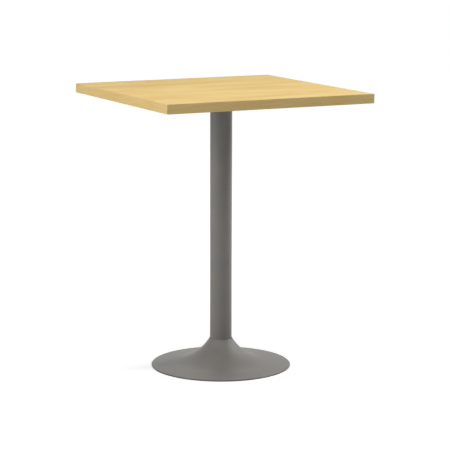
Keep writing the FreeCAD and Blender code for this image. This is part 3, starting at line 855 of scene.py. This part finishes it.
class TABLE_OT_levellers(bpy.types.Operator):
    """Make the four threaded leveller studs and finish their moulded feet"""

    bl_idname = "table.levellers"
    bl_label = "Levellers"

    def execute(self, context):
        pitch = context.scene.table_fasteners.stud_pitch
        zinc = shared(bright_zinc_plated_steel, context)
        for corner in CORNERS:
            dress("leveller_foot_" + corner, shared(black_moulded_nylon, context))
            node, body = "leveller_stud_" + corner, "leveller_" + corner
            low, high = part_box(node)
            radius = (high.x - low.x) / 2
            core = radius - THREAD_DEPTH * pitch
            mesh = bmesh.new()
            rings = [circle(0.0, low.z), circle(core, low.z)]
            rings += threaded(radius, pitch, low.z + pitch / 2, high.z - pitch / 2)
            rings += [circle(core, high.z), circle(0.0, high.z)]
            loft(mesh, rings, (low.x + high.x) / 2, (low.y + high.y) / 2)
            name = "threaded_stud_" + corner
            make_piece(name, mesh, zinc, body, node)
        return {"FINISHED"}


# --- Stage ---


def seen_or_mirrored(tree):
    """1 for rays from the camera or from a mirror or glass, 0 for the light on the table."""
    path = add(tree, "ShaderNodeLightPath")
    seen = path.outputs["Is Camera Ray"]
    for other in ("Is Glossy Ray", "Is Transmission Ray"):
        seen = add(tree, "ShaderNodeMath", (seen, path.outputs[other]), operation="MAXIMUM")
    return seen


def white_background_paper(studio):
    """Seamless white background paper: it takes the table's shadow, and reads as pure white."""
    material, tree = new_material("white_background_paper")
    pale, dark = opaque(linear("E9E9E9")), opaque(linear("E6E6E6"))
    fibre = add(tree, "ShaderNodeTexNoise", {"Vector": spaced(tree, 30 * MM), "Scale": 1.0})
    tone = add(tree, "ShaderNodeMix", (fibre, dark, pale), data_type="RGBA")
    paper = add(tree, "ShaderNodeBsdfDiffuse", {"Color": tone})
    # The lamps only reach the ground near the foot, so the white that is added grows away from it.
    place = add(tree, "ShaderNodeTexCoord").outputs["Object"]
    away = add(tree, "ShaderNodeVectorMath", {"Vector": place}, operation="LENGTH")
    near, far = 0.5 * frame_reach(), studio.glow_reach
    white = add(tree, "ShaderNodeMapRange", (away, near, far, studio.glow_near, 1.0))
    glow = add(tree, "ShaderNodeMath", (seen_or_mirrored(tree), white), operation="MULTIPLY")
    light = add(tree, "ShaderNodeEmission", {"Strength": glow})
    both = add(tree, "ShaderNodeAddShader", (paper, light))
    # From below the paper is clear, so that the table's underside can be looked at.
    below = add(tree, "ShaderNodeNewGeometry").outputs["Backfacing"]
    seen = add(tree, "ShaderNodeLightPath").outputs["Is Camera Ray"]
    under = add(tree, "ShaderNodeMath", (below, seen), operation="MULTIPLY")
    clear = add(tree, "ShaderNodeBsdfTransparent")
    surface = add(tree, "ShaderNodeMixShader", (under, both, clear))
    add(tree, "ShaderNodeOutputMaterial", {"Surface": surface})
    return material


def make_ground(studio):
    """Lays the background paper on the floor."""
    mesh = bmesh.new()
    bmesh.ops.create_grid(mesh, x_segments=8, y_segments=8, size=GROUND_REACH)
    data = bpy.data.meshes.new("ground")
    mesh.to_mesh(data)
    mesh.free()
    data.materials.append(white_background_paper(studio))
    ground = bpy.data.objects.new("ground", data)
    bpy.context.scene.collection.objects.link(ground)


def make_room(studio):
    """An even white room: full white where it is seen, and a weak light on the table."""
    world = bpy.data.worlds.new("white_room")
    world.use_nodes = True
    tree = world.node_tree
    tree.nodes.clear()
    levels = (seen_or_mirrored(tree), 0.0, 1.0, studio.ambient, 1.0)
    strength = add(tree, "ShaderNodeMapRange", levels)
    white = opaque(linear("FFFFFF"))
    light = add(tree, "ShaderNodeBackground", {"Color": white, "Strength": strength})
    add(tree, "ShaderNodeOutputWorld", {"Surface": light})
    bpy.context.scene.world = world


def around(studio, turn, lift, distance):
    """A place round the table, turned from the camera's side and lifted above the floor."""
    turn_from_front = studio.camera_turn + math.radians(turn)
    rise = math.radians(lift)
    return distance * Vector(
        (
            math.sin(turn_from_front) * math.cos(rise),
            -math.cos(turn_from_front) * math.cos(rise),
            math.sin(rise),
        )
    )


def make_lamp(studio, name):
    """A soft box aimed at the middle of the table. It isn't seen itself, but its shine is."""
    turn, lift, distance, width, height = SOFT_BOXES[name]
    data = bpy.data.lights.new(name, "AREA")
    data.shape = "RECTANGLE"
    data.size, data.size_y = width, height
    data.energy = getattr(studio, name)
    lamp = bpy.data.objects.new(name, data)
    target = Vector((0.0, 0.0, LAMP_AIM))
    lamp.location = target + around(studio, turn, lift, distance)
    lamp.rotation_euler = (target - lamp.location).to_track_quat("-Z", "Y").to_euler()
    lamp.visible_camera = False
    bpy.context.scene.collection.objects.link(lamp)
    return lamp


def make_camera(studio):
    """Puts the scene's camera in its place, and aims it."""
    data = bpy.data.cameras.new("camera")
    data.sensor_width = SENSOR_WIDTH
    data.lens = studio.camera_pixels * SENSOR_WIDTH / IMAGE_SIDE
    data.clip_end = CAMERA_REACH
    camera = bpy.data.objects.new("camera", data)
    place = around(studio, 0.0, 0.0, studio.camera_distance)
    place.z = studio.camera_height
    heading = Matrix.Rotation(studio.camera_turn - studio.camera_pan, 4, "Z")
    tilt = Matrix.Rotation(math.pi / 2 - studio.camera_tilt, 4, "X")
    roll = Matrix.Rotation(studio.camera_roll, 4, "Z")
    camera.matrix_world = Matrix.Translation(place) @ heading @ tilt @ roll
    bpy.context.scene.collection.objects.link(camera)
    bpy.context.scene.camera = camera


class TABLE_OT_stage(bpy.types.Operator):
    """Set up the white ground, the lamps and the camera"""

    bl_idname = "table.stage"
    bl_label = "Stage"

    def execute(self, context):
        studio = context.scene.table_studio
        context.scene.view_settings.view_transform = "Standard"
        make_ground(studio)
        make_room(studio)
        lamps = {name: make_lamp(studio, name) for name in SOFT_BOXES}
        # The back box only fills the shade behind the table, so it leaves no shine.
        lamps["back"].visible_glossy = False
        make_camera(studio)
        return {"FINISHED"}


class TABLE_PT_panel(bpy.types.Panel):
    """Builds the table's finishes and fasteners, and its stage"""

    bl_idname = "TABLE_PT_panel"
    bl_label = "Standing meeting table"
    bl_space_type = "VIEW_3D"
    bl_region_type = "UI"
    bl_category = "Table"

    def draw(self, context):
        for operator in OPERATORS:
            self.layout.operator(operator.bl_idname)


SETTINGS = (TableFinish, TableFasteners, TableStudio)
OPERATORS = (
    TABLE_OT_worktop,
    TABLE_OT_edge_bands,
    TABLE_OT_column,
    TABLE_OT_trumpet_foot,
    TABLE_OT_castings,
    TABLE_OT_spider_screws,
    TABLE_OT_tie_rod,
    TABLE_OT_levellers,
    TABLE_OT_stage,
)


def register():
    for cls in (*SETTINGS, *OPERATORS, TABLE_PT_panel):
        bpy.utils.register_class(cls)
    bpy.types.Scene.table_finish = bpy.props.PointerProperty(type=TableFinish)
    bpy.types.Scene.table_fasteners = bpy.props.PointerProperty(type=TableFasteners)
    bpy.types.Scene.table_studio = bpy.props.PointerProperty(type=TableStudio)


def unregister():
    del bpy.types.Scene.table_studio
    del bpy.types.Scene.table_fasteners
    del bpy.types.Scene.table_finish
    for cls in reversed((*SETTINGS, *OPERATORS, TABLE_PT_panel)):
        bpy.utils.unregister_class(cls)


def main():
    register()
    bpy.ops.table.worktop()
    bpy.ops.table.edge_bands()
    bpy.ops.table.column()
    bpy.ops.table.trumpet_foot()
    bpy.ops.table.castings()
    bpy.ops.table.spider_screws()
    bpy.ops.table.tie_rod()
    bpy.ops.table.levellers()
    bpy.ops.table.stage()


if __name__ == "__main__":
    main()
